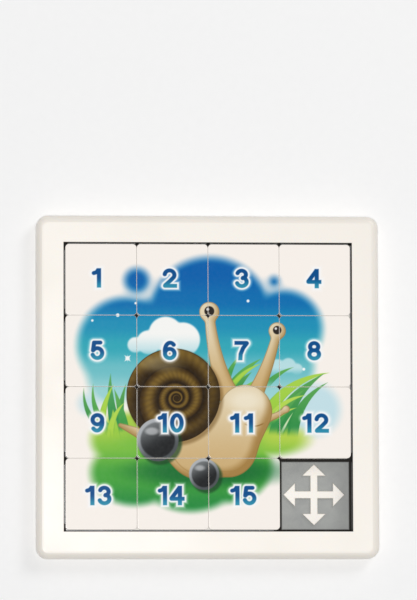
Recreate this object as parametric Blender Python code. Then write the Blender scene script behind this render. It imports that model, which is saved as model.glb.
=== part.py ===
"""A sliding tile puzzle: fifteen numbered tiles and one empty cell in a square frame.

The puzzle lies flat with its face up. X runs to the right of the face, Y to its top,
and Z up. The origin is on the surface that the puzzle rests on, under its centre.
All lengths are in metres.
"""
import math

import bmesh
import bpy
from mathutils import Matrix, Vector

# Field of tiles
CELLS = 4                     # cells along each side of the field
PITCH = 0.025                 # from one cell's centre to the next
TILE_GAP = 0.0003             # between two tiles that stand side by side
EDGE_GAP = 0.0006             # between an outer tile and the frame

# Tiles
TILE_HEIGHT = 0.0055
TILE_LIFT = 0.0003            # running clearance between a tile and the floor
TILE_CORNER = 0.001           # radius of a tile's upright corners
TILE_EDGE = 0.0005            # rounding of the rim of a tile's face
TILE_FACE = 0.0014            # thickness of a tile's face plate
TILE_WALL = 0.0012            # wall left behind a tile's groove
TILE_RIB = 0.0012             # ribs that cross a tile's hollow underside

# Tongues and grooves that hold the tiles down and guide them
TONGUE_OUT = 0.0013           # how far a tongue stands out of its tile
TONGUE_THICKNESS = 0.001
TONGUE_RISE = 0.0029          # from a tile's underside up to its tongue
SIDE_CLEARANCE = 0.0003       # above and below a tongue in its groove
TIP_CLEARANCE = 0.0007        # past a tongue's tip, and past a tongue's ends
BITE = 0.001                  # how far the frame's ribs reach into the tiles' grooves

# Frame
RIM_WIDTH = 0.00955           # from the field's edge to the frame's outer side
FACE_STEP = 0.0004            # how far the frame's face stands above the tiles' faces
FRAME_CORNER = 0.004          # radius of the frame's outer corners
FRAME_ROUNDING = 0.0025       # rounding of the frame's outer top edge
FIELD_CHAMFER = 0.0002        # chamfer of the frame's inner top edge
FRAME_WALL = 0.002            # the frame's outer wall
DECK = 0.0018                 # thickness of the frame's top over its hollow channel
LEDGE = 0.0006                # ledge all round that the base plate's rim meets
INNER_WALL = 0.0014           # wall left behind the undercut that takes the tongues
BLOCK_LENGTH = 0.008          # solid blocks that carry the pins, across the channel

# Base plate, and the pins that hold it in the frame
FLOOR_THICKNESS = 0.0022
JOIN_GAP = 0.0003             # between two pieces that are fitted together
PIN_RADIUS = 0.001
PIN_LENGTH = 0.0012           # how far a pin stands below its block

# Raised mark on the floor of the empty cell: four arrows, one for each way to slide
RECESS_DEPTH = 0.001          # the empty cell's floor lies this much lower
RECESS_OVERLAP = 0.0004       # how far that recess runs under its neighbours
MARK_MARGIN = 0.0017          # from an arrow's tip to the side of the cell
MARK_STROKE = 0.0026          # width of an arrow's shaft
HEAD_LENGTH = 0.0042
HEAD_WIDTH = 0.0086
PEG_RADIUS = 0.0007           # pegs under the mark
PEG_LENGTH = 0.0003           # how far a peg reaches below the recess floor
PEG_PLACE = 0.0055            # from the mark's centre to each peg

# Facets
CORNER_FACETS = 3
FRAME_CORNER_FACETS = 8
EDGE_FACETS = 2
ROUNDING_FACETS = 6
PIN_SIDES = 16
PAST = 0.001                  # how far a cutter runs past what it cuts

# Sizes that follow
TILE = PITCH - TILE_GAP
FIELD = CELLS * PITCH - TILE_GAP + 2 * EDGE_GAP
OUTER = FIELD + 2 * RIM_WIDTH
TILE_BOTTOM = FLOOR_THICKNESS + TILE_LIFT
TILE_TOP = TILE_BOTTOM + TILE_HEIGHT
FRAME_HEIGHT = TILE_TOP + FACE_STEP
TONGUE_LOW = TILE_BOTTOM + TONGUE_RISE
TONGUE_HIGH = TONGUE_LOW + TONGUE_THICKNESS
GROOVE_DEPTH = TONGUE_OUT - TILE_GAP + TIP_CLEARANCE
TONGUE_SETBACK = TONGUE_OUT + TIP_CLEARANCE
RIB_OUT = EDGE_GAP + BITE
UNDERCUT = TONGUE_OUT - EDGE_GAP + TIP_CLEARANCE
LIP_LOW = TONGUE_HIGH + SIDE_CLEARANCE
REBATE = OUTER - 2 * FRAME_WALL
PLATE = REBATE - 2 * JOIN_GAP
WALL_BOTTOM = FLOOR_THICKNESS + JOIN_GAP
MARK_REACH = PITCH / 2 - MARK_MARGIN
HOME_EDGE = (CELLS / 2 - 1) * PITCH    # from the centre to the empty cell's nearer sides


def cell_centre(row, column):
    """The centre of a cell, counted from the top left corner of the face."""
    middle = (CELLS - 1) / 2
    return Vector(((column - middle) * PITCH, (middle - row) * PITCH, 0.0))


def plastic(name, colour, roughness):
    """A moulded plastic in one linear colour."""
    material = bpy.data.materials.new(name)
    material.use_nodes = True
    shader = material.node_tree.nodes["Principled BSDF"]
    shader.inputs["Base Color"].default_value = (*colour, 1.0)
    shader.inputs["Roughness"].default_value = roughness
    shader.inputs["Metallic"].default_value = 0.0
    return material


def keep(name, mesh_maker):
    """A new object that holds the mesh which was built in mesh_maker."""
    bmesh.ops.recalc_face_normals(mesh_maker, faces=mesh_maker.faces)
    mesh = bpy.data.meshes.new(name)
    mesh_maker.to_mesh(mesh)
    mesh_maker.free()
    obj = bpy.data.objects.new(name, mesh)
    bpy.context.collection.objects.link(obj)
    return obj


def upright(edge):
    """Whether an edge runs along Z."""
    across = edge.verts[0].co.xy - edge.verts[1].co.xy
    return across.length < 1e-7


def block(name, low, high, corner=0.0, facets=CORNER_FACETS, rounding=0.0, steps=EDGE_FACETS):
    """A box between two corners, with round upright edges and a rounded upper rim."""
    low, high = Vector(low), Vector(high)
    bm = bmesh.new()
    size = Matrix.Diagonal((*(high - low), 1.0))
    bmesh.ops.create_cube(bm, size=1.0, matrix=Matrix.Translation((low + high) / 2) @ size)
    if corner > 0.0:
        bmesh.ops.bevel(
            bm, geom=[e for e in bm.edges if upright(e)], affect="EDGES",
            offset=corner, segments=facets, profile=0.5, material=-1,
        )
    if rounding > 0.0:
        rim = [e for e in bm.edges if all(v.co.z > high.z - 1e-6 for v in e.verts)]
        bmesh.ops.bevel(
            bm, geom=rim, affect="EDGES",
            offset=rounding, segments=steps, profile=0.5, material=-1,
        )
    return keep(name, bm)


def square(name, side, low_z, high_z, corner=0.0, **more):
    """A square block centred on the origin."""
    half = side / 2
    return block(name, (-half, -half, low_z), (half, half, high_z), corner, **more)


def slab(name, outline, low_z, high_z):
    """A flat outline, given anticlockwise, raised from one height to another."""
    bm = bmesh.new()
    face = bm.faces.new([bm.verts.new((x, y, low_z)) for x, y in outline])
    raised = bmesh.ops.extrude_face_region(bm, geom=[face])
    lifted = [v for v in raised["geom"] if isinstance(v, bmesh.types.BMVert)]
    bmesh.ops.translate(bm, verts=lifted, vec=(0.0, 0.0, high_z - low_z))
    return keep(name, bm)


def rods(name, places, radius, low_z, high_z):
    """One mesh of upright round rods that stand clear of each other."""
    bm = bmesh.new()
    for place in places:
        middle = Matrix.Translation((place.x, place.y, (low_z + high_z) / 2))
        bmesh.ops.create_cone(
            bm, cap_ends=True, segments=PIN_SIDES, radius1=radius, radius2=radius,
            depth=high_z - low_z, matrix=middle,
        )
    return keep(name, bm)


def combine(target, other, operation):
    """Cut the other shape out of the target, or add it to the target."""
    other.hide_render = True
    other.display_type = "WIRE"
    modifier = target.modifiers.new(other.name, "BOOLEAN")
    modifier.operation = operation
    modifier.solver = "EXACT"
    modifier.object = other


def cut(target, *cutters):
    """Cut several shapes out of the target, one after the other."""
    for cutter in cutters:
        combine(target, cutter, "DIFFERENCE")


def add(target, *pieces):
    """Fuse several shapes to the target, one after the other."""
    for piece in pieces:
        combine(target, piece, "UNION")


def settle(obj):
    """Turn an object's modifiers into plain mesh, and remove the shapes they used."""
    graph = bpy.context.evaluated_depsgraph_get()
    mesh = bpy.data.meshes.new_from_object(obj.evaluated_get(graph))
    used = [m.object for m in obj.modifiers]
    obj.modifiers.clear()
    obj.data = mesh
    for other in used:
        bpy.data.objects.remove(other)
    return mesh


def finish(obj, material):
    """Give a piece its material, with flat faces and smooth round ones."""
    obj.data.materials.clear()
    obj.data.materials.append(material)
    obj.data.shade_smooth()
    obj.data.set_sharp_from_angle(angle=math.radians(35))


def tile_mesh():
    """The mesh that all fifteen tiles share, centred on the tile, with its real height."""
    half = TILE / 2
    tile = square("tile", TILE, TILE_BOTTOM, TILE_TOP, TILE_CORNER, rounding=TILE_EDGE)

    groove_low = TONGUE_LOW - SIDE_CLEARANCE
    groove_high = TONGUE_HIGH + SIDE_CLEARANCE
    reach = half + PAST
    right_groove = block(
        "right_groove", (half - GROOVE_DEPTH, -reach, groove_low), (reach, reach, groove_high),
    )
    bottom_groove = block(
        "bottom_groove", (-reach, -reach, groove_low), (reach, -half + GROOVE_DEPTH, groove_high),
    )
    cut(tile, right_groove, bottom_groove)

    # Four pockets lighten the underside, behind a wall as thick as the grooves need.
    inner = half - GROOVE_DEPTH - TILE_WALL
    pockets = []
    for side_x in (-1, 1):
        for side_y in (-1, 1):
            near = Vector((side_x, side_y)) * TILE_RIB / 2
            far = Vector((side_x, side_y)) * inner
            low = (min(near.x, far.x), min(near.y, far.y), TILE_BOTTOM - PAST)
            high = (max(near.x, far.x), max(near.y, far.y), TILE_TOP - TILE_FACE)
            pockets.append(block(f"pocket_{side_x}_{side_y}", low, high))
    cut(tile, *pockets)

    # The tongues stop short of the corners, so two that point into one cell never meet.
    root = half - TILE_CORNER
    tongue_end = half - TONGUE_SETBACK
    left_tongue = block(
        "left_tongue", (-half - TONGUE_OUT, -tongue_end, TONGUE_LOW), (-root, tongue_end, TONGUE_HIGH),
    )
    top_tongue = block(
        "top_tongue", (-tongue_end, root, TONGUE_LOW), (tongue_end, half + TONGUE_OUT, TONGUE_HIGH),
    )
    add(tile, left_tongue, top_tongue)
    mesh = settle(tile)
    bpy.data.objects.remove(tile)
    return mesh


def make_tiles(material):
    """Fifteen tiles in reading order; the last cell stays empty."""
    mesh = tile_mesh()
    for number in range(1, CELLS * CELLS):
        tile = bpy.data.objects.new(f"tile_{number:02d}", mesh)
        tile.location = cell_centre(*divmod(number - 1, CELLS))
        bpy.context.collection.objects.link(tile)
        if number == 1:
            finish(tile, material)


def pin_places():
    """Where the eight pins stand: in the corners and halfway along the sides of the rim."""
    along = (REBATE / 2 + FIELD / 2 + UNDERCUT + INNER_WALL) / 2
    return [
        Vector((x * along, y * along, 0.0))
        for x in (-1, 0, 1) for y in (-1, 0, 1) if (x, y) != (0, 0)
    ]


def undercut_cutter():
    """The slot along the left and top walls, open to the back, that takes the tongues."""
    inside = FIELD / 2 - PAST
    deep = FIELD / 2 + UNDERCUT
    end = FIELD / 2 - RIB_OUT / 2
    outline = [
        (end, deep), (-deep, deep), (-deep, -end), (-inside, -end), (-inside, inside), (end, inside),
    ]
    return slab("undercut", outline, WALL_BOTTOM - PAST, LIP_LOW)


def rib_pieces():
    """The ribs along the right and bottom walls, which reach into the tiles' grooves.

    They stop before the empty cell: its walls are plain, so a tile can be loaded there.
    """
    root = FIELD / 2 + PAST
    tip = FIELD / 2 - RIB_OUT
    end = FIELD / 2 - TIP_CLEARANCE
    stop = HOME_EDGE - TONGUE_SETBACK
    right_rib = block("right_rib", (tip, -stop, TONGUE_LOW), (root, end, TONGUE_HIGH))
    bottom_rib = block("bottom_rib", (-end, -root, TONGUE_LOW), (stop, -tip, TONGUE_HIGH))
    return right_rib, bottom_rib


def chamfer_cutter():
    """A shallow funnel that takes the sharp edge off the top of the field's opening."""
    bm = bmesh.new()
    low_half = FIELD / 2 - FIELD_CHAMFER
    low_z = FRAME_HEIGHT - 2 * FIELD_CHAMFER
    bmesh.ops.create_grid(
        bm, x_segments=1, y_segments=1, size=low_half, matrix=Matrix.Translation((0.0, 0.0, low_z)),
    )
    raised = bmesh.ops.extrude_face_region(bm, geom=list(bm.faces))
    lifted = [v for v in raised["geom"] if isinstance(v, bmesh.types.BMVert)]
    rise = 2 * FIELD_CHAMFER + PAST
    spread = 1 + rise / low_half
    bmesh.ops.scale(bm, verts=lifted, vec=(spread, spread, 1.0))
    bmesh.ops.translate(bm, verts=lifted, vec=(0.0, 0.0, rise))
    return keep("chamfer", bm)


def channel_cutters():
    """The hollow under the rim, in two stretches on each side, between the pins' blocks."""
    outer = REBATE / 2 - LEDGE
    inner = FIELD / 2 + UNDERCUT + INNER_WALL
    near = BLOCK_LENGTH / 2
    low_z = WALL_BOTTOM - PAST
    high_z = FRAME_HEIGHT - DECK
    end = pin_places()[-1].x - near
    cutters = []
    for turn in range(4):
        for side in (-1, 1):
            first, last = sorted((side * near, side * end))
            cutter = block(
                f"channel_{turn}_{side}", (first, inner, low_z), (last, outer, high_z),
            )
            cutter.data.transform(Matrix.Rotation(turn * math.pi / 2, 4, "Z"))
            cutters.append(cutter)
    return cutters


def make_frame(material):
    """The frame: one moulding with the rim, the ribs, the undercuts and the pins."""
    frame = square(
        "frame", OUTER, 0.0, FRAME_HEIGHT, FRAME_CORNER,
        facets=FRAME_CORNER_FACETS, rounding=FRAME_ROUNDING, steps=ROUNDING_FACETS,
    )
    rebate = square("rebate", REBATE, -PAST, WALL_BOTTOM, FRAME_CORNER - FRAME_WALL)
    opening = square("opening", FIELD, -PAST, FRAME_HEIGHT + PAST)
    cut(frame, opening, chamfer_cutter(), rebate, undercut_cutter(), *channel_cutters())
    add(frame, *rib_pieces())
    bottom = WALL_BOTTOM - PIN_LENGTH
    add(frame, rods("pins", pin_places(), PIN_RADIUS, bottom, WALL_BOTTOM + PAST))
    finish(frame, material)


def make_base_plate(material):
    """The plate that closes the back, with a lower floor in the empty cell."""
    plate = square("base_plate", PLATE, 0.0, FLOOR_THICKNESS, FRAME_CORNER - FRAME_WALL)
    centre = cell_centre(CELLS - 1, CELLS - 1)
    near = (PITCH - TILE_GAP) / 2 + TILE_GAP + RECESS_OVERLAP
    far = FIELD / 2 - centre.x + RECESS_OVERLAP
    recess_floor = FLOOR_THICKNESS - RECESS_DEPTH
    recess = block(
        "recess",
        (centre.x - near, centre.y - far, recess_floor),
        (centre.x + far, centre.y + near, FLOOR_THICKNESS + PAST),
    )
    cut(plate, recess)
    sockets = rods(
        "sockets", pin_places(), PIN_RADIUS + JOIN_GAP,
        WALL_BOTTOM - PIN_LENGTH - JOIN_GAP, FLOOR_THICKNESS + PAST,
    )
    peg_holes = rods(
        "peg_holes", peg_places(), PEG_RADIUS + JOIN_GAP,
        recess_floor - PEG_LENGTH - JOIN_GAP, recess_floor + PAST,
    )
    cut(plate, sockets, peg_holes)
    finish(plate, material)


def peg_places():
    """One peg under each arm of the mark."""
    centre = cell_centre(CELLS - 1, CELLS - 1)
    return [
        centre + Matrix.Rotation(turn * math.pi / 2, 3, "Z") @ Vector((PEG_PLACE, 0.0, 0.0))
        for turn in range(4)
    ]


def arrow_outline(centre):
    """The outline of four arrows that share one centre, anticlockwise."""
    half = MARK_STROKE / 2
    neck = MARK_REACH - HEAD_LENGTH
    arm = [
        (half, -half), (neck, -half), (neck, -HEAD_WIDTH / 2),
        (MARK_REACH, 0.0), (neck, HEAD_WIDTH / 2), (neck, half),
    ]
    turns = [Matrix.Rotation(turn * math.pi / 2, 2) for turn in range(4)]
    return [centre.xy + turn @ Vector(point) for turn in turns for point in arm]


def make_floor_mark(material):
    """The raised mark: its top is level with the floor, so a tile slides over it."""
    centre = cell_centre(CELLS - 1, CELLS - 1)
    low_z = FLOOR_THICKNESS - RECESS_DEPTH + JOIN_GAP
    mark = slab("floor_mark", arrow_outline(centre), low_z, FLOOR_THICKNESS)
    bottom = FLOOR_THICKNESS - RECESS_DEPTH - PEG_LENGTH
    middle = (low_z + FLOOR_THICKNESS) / 2
    add(mark, rods("pegs", peg_places(), PEG_RADIUS, bottom, middle))
    finish(mark, material)


def main():
    for obj in list(bpy.data.objects):
        bpy.data.objects.remove(obj)
    ivory = plastic("ivory_moulded_plastic", (0.93, 0.87, 0.80), 0.32)
    tile_ivory = plastic("ivory_tile_plastic", (0.95, 0.90, 0.84), 0.28)
    grey = plastic("grey_moulded_plastic", (0.27, 0.29, 0.28), 0.45)
    make_frame(ivory)
    make_base_plate(grey)
    make_floor_mark(ivory)
    make_tiles(tile_ivory)


main()
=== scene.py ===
# %% [markdown]
# A sliding tile puzzle, finished for a close look
#
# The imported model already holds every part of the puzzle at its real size: a frame, a base
# plate, a raised mark on the floor of the empty cell, and fifteen tiles. This lesson dresses
# that frame. It makes the mouldings with fine rounded edges, prints a picture and the numbers
# on the tiles, and sets the puzzle on a pale table under soft light.

# %% Load the frame
import math

import bmesh
import bpy
import numpy as np
from mathutils import Matrix, Vector


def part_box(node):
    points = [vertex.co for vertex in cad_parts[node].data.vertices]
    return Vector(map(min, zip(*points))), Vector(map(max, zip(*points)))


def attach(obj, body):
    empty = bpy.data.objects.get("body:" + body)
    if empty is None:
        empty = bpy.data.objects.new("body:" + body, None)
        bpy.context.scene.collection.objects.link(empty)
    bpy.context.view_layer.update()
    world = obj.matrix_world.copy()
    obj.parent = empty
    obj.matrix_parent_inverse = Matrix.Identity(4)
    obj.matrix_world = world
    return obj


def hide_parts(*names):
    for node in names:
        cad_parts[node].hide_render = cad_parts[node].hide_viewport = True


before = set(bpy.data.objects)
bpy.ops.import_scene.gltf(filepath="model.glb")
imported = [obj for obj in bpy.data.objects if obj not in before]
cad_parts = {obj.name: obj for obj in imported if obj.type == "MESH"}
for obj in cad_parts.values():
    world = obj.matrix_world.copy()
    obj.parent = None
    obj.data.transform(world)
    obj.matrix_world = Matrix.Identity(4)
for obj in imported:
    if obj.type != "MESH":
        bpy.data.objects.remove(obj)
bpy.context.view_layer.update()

# %% [markdown]
# Reading the sizes from the frame
#
# Every place comes from the frame, so a new piece needs no fitting. The tiles repeat at one
# pitch, and each tile's box includes the tongues on its left and upper sides. The picture is
# drawn in millimetres from the middle of the face, because that is how a printer would plan it.
#
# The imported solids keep 0.3 mm between tiles, a safe distance for calculation. Real tiles are
# pushed together and leave their slack at the frame, so the finished ones stand 0.05 mm apart
# and only a hairline shows between them.

# %% Sizes
MM = 0.001
TILE_COUNT = 15
ROW = 4
tile_low, tile_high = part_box("tile_01")
next_low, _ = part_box("tile_02")
PITCH = next_low.x - tile_low.x
TONGUE_OUT = 1.3 * MM
TILE = tile_high.x - tile_low.x - TONGUE_OUT
TILE_BOTTOM = tile_low.z
TILE_TOP = tile_high.z
EDGE_GAP = 0.6 * MM
FIELD_HALF = ROW * PITCH / 2 - (PITCH - TILE) / 2 + EDGE_GAP
FINISHED_GAP = 0.05 * MM
FACE = PITCH - FINISHED_GAP
TILE_CORNER = 1.35 * MM
TILE_EDGE = 0.16 * MM
print(f"pitch {PITCH / MM:.2f} mm, tile {TILE / MM:.2f} mm, face at {TILE_TOP / MM:.2f} mm")


def cell_centre(number):
    """The middle of a numbered cell, counted in reading order from the top left."""
    row, column = divmod(number - 1, ROW)
    middle = (ROW - 1) / 2
    return Vector(((column - middle) * PITCH, (middle - row) * PITCH, 0.0))


# %% [markdown]
# Two helpers for materials
#
# Colours are easiest to pick as sRGB hex values, but a shader wants linear light, so one
# function converts them. The other adds a node, sets its values and wires it up, so that each
# material below reads as a short list of what light meets.

# %% Material helpers


def linear(value):
    """sRGB numbers from 0 to 1 turned to linear light."""
    value = np.asarray(value, dtype=float)
    return np.where(value <= 0.04045, value / 12.92, ((value + 0.055) / 1.055) ** 2.4)


def srgb(hex_code):
    """The three sRGB numbers of a hex colour."""
    return np.array([int(hex_code[i:i + 2], 16) / 255 for i in (1, 3, 5)])


def colour(hex_code):
    """A hex colour as the four linear numbers that a socket takes."""
    return (*(float(part) for part in linear(srgb(hex_code))), 1.0)


def add_node(tree, kind, settings=None, links=None):
    """A node of a kind: its settings and input values, and the outputs that feed its inputs."""
    node = tree.nodes.new(kind)
    for name, value in (settings or {}).items():
        if isinstance(name, int) or name in node.inputs:
            node.inputs[name].default_value = value
        else:
            setattr(node, name, value)
    for name, output in (links or {}).items():
        tree.links.new(output, node.inputs[name])
    return node


def new_material(name):
    """An empty material, its node tree and its shader."""
    material = bpy.data.materials.new(name)
    material.use_nodes = True
    shader = material.node_tree.nodes["Principled BSDF"]
    return material, material.node_tree, shader


print("the middle grey #808080 is", round(colour("#808080")[0], 3), "in linear light")

# %% [markdown]
# Painted shade round the field
#
# The open gap between the frame and the outer tiles is painted nearly black: painted shade
# for the shadow that falls deep in the gap. It is part of the plastic's material and not a
# piece of its own. The band is found from how far out a point lies, whichever side it is on:
# it starts just inside the tiles' sides and fades out on the wall.

# %% Painted shade in the gap
# The colour of painted shade, in the gap round the field and in lines on the floor.
PAINTED_SHADE = "#26231F"
TILES_HALF = ROW * PITCH / 2 - FINISHED_GAP / 2
SIDE_SHADE_FULL, SIDE_SHADE_NONE = 0.01 * MM, 0.06 * MM    # in from the outer tiles' sides
WALL_SHADE_FULL, WALL_SHADE_NONE = 0.1 * MM, 0.25 * MM     # out from the frame's inner wall


def grime_share(tree, place):
    """How much painted shade a point takes in the gap round the field: an output from 0 to 1."""
    across = add_node(
        tree, "ShaderNodeVectorMath", {"operation": "ABSOLUTE"}, {0: place.outputs["Object"]},
    )
    parts = add_node(tree, "ShaderNodeSeparateXYZ", links={"Vector": across.outputs["Vector"]})
    out = add_node(
        tree, "ShaderNodeMath", {"operation": "MAXIMUM"}, {0: parts.outputs["X"], 1: parts.outputs["Y"]},
    )
    outer_side = add_node(
        tree, "ShaderNodeMapRange",
        {"From Min": FIELD_HALF + WALL_SHADE_NONE, "From Max": FIELD_HALF + WALL_SHADE_FULL},
        {"Value": out.outputs["Value"]},
    )
    inner_side = add_node(
        tree, "ShaderNodeMapRange",
        {"From Min": TILES_HALF - SIDE_SHADE_NONE, "From Max": TILES_HALF - SIDE_SHADE_FULL},
        {"Value": out.outputs["Value"]},
    )
    return add_node(
        tree, "ShaderNodeMath", {"operation": "MULTIPLY"},
        {0: outer_side.outputs["Result"], 1: inner_side.outputs["Result"]},
    ).outputs["Value"]


print(f"painted shade band: {TILES_HALF / MM:.2f} to {FIELD_HALF / MM:.2f} mm from the middle")

# %% [markdown]
# Ivory ABS, injection moulded
#
# The frame and tiles are ABS from a polished mould. It reads as a warm off-white with a soft,
# wide highlight. Close up, the surface is never quite even: flow in the mould leaves a faint
# drift in gloss over centimetres, and the polish leaves a fine ripple under a millimetre. The
# ripple is real at about 0.05 mm, too fine to show, so it is drawn at 0.6 mm and very low.

# %% Ivory ABS


def moulded_abs(name, base, shade, roughness):
    """Injection-moulded ABS: a base colour, its slightly darker drift, and its gloss."""
    material, tree, shader = new_material(name)
    shader.inputs["IOR"].default_value = 1.54
    shader.inputs["Subsurface Weight"].default_value = 0.08
    shader.inputs["Subsurface Radius"].default_value = (0.8, 0.6, 0.4)
    shader.inputs["Subsurface Scale"].default_value = 1.0 * MM
    place = add_node(tree, "ShaderNodeTexCoord")
    drift = add_node(
        tree, "ShaderNodeTexNoise", {"Scale": 1 / (22 * MM), "Detail": 2.0, "Roughness": 0.5},
        {"Vector": place.outputs["Object"]},
    )
    tint = add_node(tree, "ShaderNodeMix", {"data_type": "RGBA"})
    tint.inputs[6].default_value = colour(base)
    tint.inputs[7].default_value = colour(shade)
    tree.links.new(drift.outputs["Fac"], tint.inputs["Factor"])
    # Painted shade: the gap round the field is darkened nearly to black.
    painted_shade_mix = add_node(tree, "ShaderNodeMix", {"data_type": "RGBA"}, {6: tint.outputs[2]})
    painted_shade_mix.inputs[7].default_value = colour(PAINTED_SHADE)
    tree.links.new(grime_share(tree, place), painted_shade_mix.inputs["Factor"])
    tree.links.new(painted_shade_mix.outputs[2], shader.inputs["Base Color"])
    gloss = add_node(
        tree, "ShaderNodeMapRange",
        {"From Min": 0.3, "From Max": 0.7, "To Min": roughness - 0.04, "To Max": roughness + 0.05},
        {"Value": drift.outputs["Fac"]},
    )
    tree.links.new(gloss.outputs["Result"], shader.inputs["Roughness"])
    ripple = add_node(
        tree, "ShaderNodeTexNoise", {"Scale": 1 / (0.6 * MM), "Detail": 3.0, "Roughness": 0.55},
        {"Vector": place.outputs["Object"]},
    )
    bump = add_node(
        tree, "ShaderNodeBump", {"Strength": 0.10, "Distance": 0.02 * MM},
        {"Height": ripple.outputs["Fac"]},
    )
    tree.links.new(bump.outputs["Normal"], shader.inputs["Normal"])
    return material


FRAME_ABS = moulded_abs("injection_moulded_abs_ivory", "#F6F0E8", "#F2ECE2", 0.32)
TILE_ABS = moulded_abs("injection_moulded_abs_tile_ivory", "#FCF6EF", "#F8F2EA", 0.22)
print("materials:", FRAME_ABS.name, TILE_ABS.name)

# %% [markdown]
# Painted shade lines on the floor
#
# The floor is painted dark in lines beneath the joints between the tiles, a little to one
# side. In the empty cell they show as painted shade at the foot of its walls. A ping-pong node
# folds a coordinate back and forth, and so gives the distance to the nearest joint without
# naming any joint.

# %% Painted shade lines
SHADE_LINE_SHIFT = Vector((0.55, -0.3, 0.0)) * MM
SHADE_LINE_CORE, SHADE_LINE_EDGE = 0.5 * MM, 0.9 * MM         # out from the middle of a line
UPPER_SIDE = 1.0 * MM                             # the painted shade lines lie only above this height


def dust_share(tree, place):
    """How much painted shade lies at a point of the floor: an output from 0 to 1."""
    shifted = add_node(
        tree, "ShaderNodeVectorMath", {"operation": "SUBTRACT", 1: SHADE_LINE_SHIFT},
        {0: place.outputs["Object"]},
    )
    parts = add_node(tree, "ShaderNodeSeparateXYZ", links={"Vector": shifted.outputs["Vector"]})
    across, along = (
        add_node(
            tree, "ShaderNodeMath", {"operation": "PINGPONG", 1: PITCH / 2}, {0: parts.outputs[axis]},
        ) for axis in "XY"
    )
    nearest = add_node(
        tree, "ShaderNodeMath", {"operation": "MINIMUM"},
        {0: across.outputs["Value"], 1: along.outputs["Value"]},
    )
    under_joint = add_node(
        tree, "ShaderNodeMapRange", {"From Min": SHADE_LINE_EDGE, "From Max": SHADE_LINE_CORE},
        {"Value": nearest.outputs["Value"]},
    )
    upper_side = add_node(
        tree, "ShaderNodeMath", {"operation": "GREATER_THAN", 1: UPPER_SIDE}, {0: parts.outputs["Z"]},
    )
    return add_node(
        tree, "ShaderNodeMath", {"operation": "MULTIPLY"},
        {0: under_joint.outputs["Result"], 1: upper_side.outputs["Value"]},
    ).outputs["Value"]


print(f"painted shade lines: {2 * SHADE_LINE_EDGE / MM:.1f} mm wide, every {PITCH / MM:.0f} mm")

# %% [markdown]
# Grey polystyrene with a spark-eroded finish
#
# The floor is duller than the tiles, because its mould was spark eroded: the metal is left
# with tiny pits, and the plastic takes them up as a fine, even grain. The grain is about
# 0.1 mm, so it is drawn at 0.35 mm to show at all. Handling and light dust leave pale clouds
# a few millimetres wide. Where the painted shade lines lie, the sheen is turned down too.

# %% Grey polystyrene


def eroded_polystyrene(name, base, pale):
    """Matt grey polystyrene with a fine moulded grain, pale cloudy patches and painted shade lines."""
    material, tree, shader = new_material(name)
    shader.inputs["IOR"].default_value = 1.59
    place = add_node(tree, "ShaderNodeTexCoord")
    clouds = add_node(
        tree, "ShaderNodeTexNoise",
        {"Scale": 1 / (7 * MM), "Detail": 4.0, "Roughness": 0.6, "Distortion": 0.6},
        {"Vector": place.outputs["Object"]},
    )
    share = add_node(
        tree, "ShaderNodeMapRange", {"From Min": 0.3, "From Max": 0.75},
        {"Value": clouds.outputs["Fac"]},
    )
    tint = add_node(tree, "ShaderNodeMix", {"data_type": "RGBA"})
    tint.inputs[6].default_value = colour(base)
    tint.inputs[7].default_value = colour(pale)
    tree.links.new(share.outputs["Result"], tint.inputs["Factor"])
    # Painted shade: dark lines under the joints, seen at the foot of the empty cell's walls.
    shade_lines = dust_share(tree, place)
    painted_shade_mix = add_node(tree, "ShaderNodeMix", {"data_type": "RGBA"}, {6: tint.outputs[2]})
    painted_shade_mix.inputs[7].default_value = colour(PAINTED_SHADE)
    tree.links.new(shade_lines, painted_shade_mix.inputs["Factor"])
    sheen = add_node(tree, "ShaderNodeMapRange", {"To Min": 0.5, "To Max": 0.05}, {"Value": shade_lines})
    tree.links.new(sheen.outputs["Result"], shader.inputs["Specular IOR Level"])
    tree.links.new(painted_shade_mix.outputs[2], shader.inputs["Base Color"])
    gloss = add_node(
        tree, "ShaderNodeMapRange", {"To Min": 0.42, "To Max": 0.58},
        {"Value": clouds.outputs["Fac"]},
    )
    tree.links.new(gloss.outputs["Result"], shader.inputs["Roughness"])
    grain = add_node(
        tree, "ShaderNodeTexNoise", {"Scale": 1 / (0.35 * MM), "Detail": 2.0},
        {"Vector": place.outputs["Object"]},
    )
    bump = add_node(
        tree, "ShaderNodeBump", {"Strength": 0.25, "Distance": 0.03 * MM},
        {"Height": grain.outputs["Fac"]},
    )
    tree.links.new(bump.outputs["Normal"], shader.inputs["Normal"])
    return material


FLOOR_PLASTIC = eroded_polystyrene("spark_eroded_polystyrene_grey", "#8B8D8B", "#A3A5A1")
print("material:", FLOOR_PLASTIC.name)

# %% [markdown]
# The printed coat
#
# The picture is printed on the tiles under a clear gloss coat. Ink has no grain of its own at
# this size, but the coat has: it levels out with a faint orange peel, about a millimetre from
# crest to crest. The colour itself is painted on the print's own mesh further down, and the
# material reads it from there.

# %% Printed coat
INK = "ink"


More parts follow.
